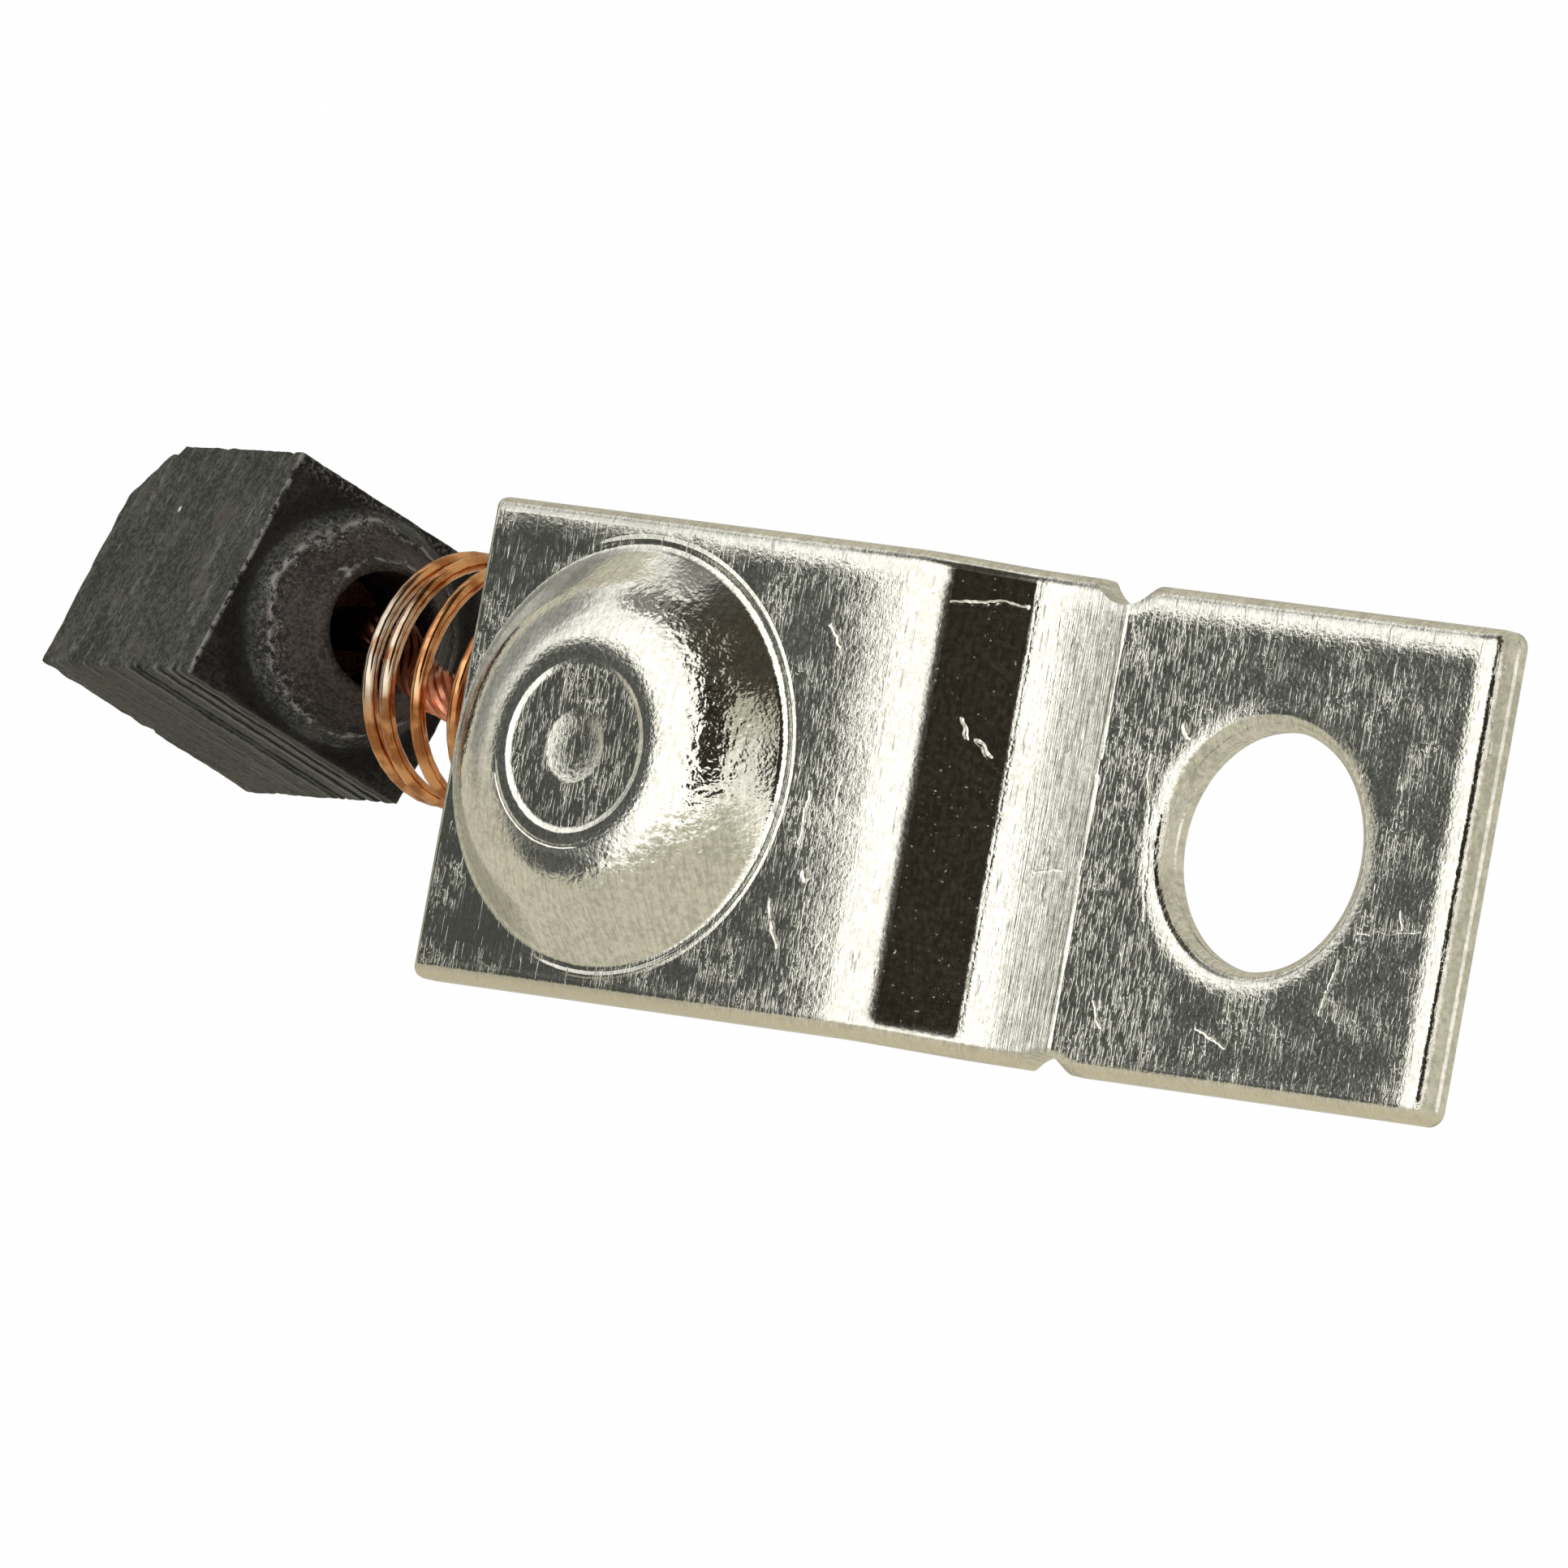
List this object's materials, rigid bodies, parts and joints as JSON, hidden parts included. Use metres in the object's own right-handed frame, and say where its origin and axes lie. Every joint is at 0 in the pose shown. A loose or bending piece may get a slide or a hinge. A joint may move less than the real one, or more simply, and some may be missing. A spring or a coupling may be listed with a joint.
{
  "type": "carbon brush",
  "caption": "Carbon brush hanging by its coil spring and copper lead from a Z-bent plated terminal plate with a pressed dome and a screw hole.",
  "frame": {"origin": "centre of the screw hole on the underside of the terminal plate", "axes": "+X along the strip from the dome to the screw end, +Z out of the side that the dome stands on"},
  "size_m": [0.0363, 0.0097, 0.0097],
  "materials": {
    "plated_sheet": "nickel plate, scratched and speckled, bright on the rolled edges",
    "spring_wire": "smooth drawn wire with a copper sheen",
    "braided_copper": "bare braided copper",
    "copper_powder": "matt tamped powder",
    "carbon": "matt ground carbon with fine saw lines and chipped edges"
  },
  "bodies": {
    "terminal": {"terminal_plate": "plated_sheet", "compression_spring": "spring_wire", "shunt_lead": "braided_copper"},
    "brush": {"carbon_block": "carbon", "tamping_plug": "copper_powder"}
  },
  "joints": [
    {"name": "brush_press", "type": "slide", "parent": "terminal", "child": "brush", "axis": [0.9205, 0, 0.3907], "range_m": [0, 0.004], "stiffness_N_per_m": 60, "deforming": ["compression_spring", "shunt_lead"]}
  ]
}
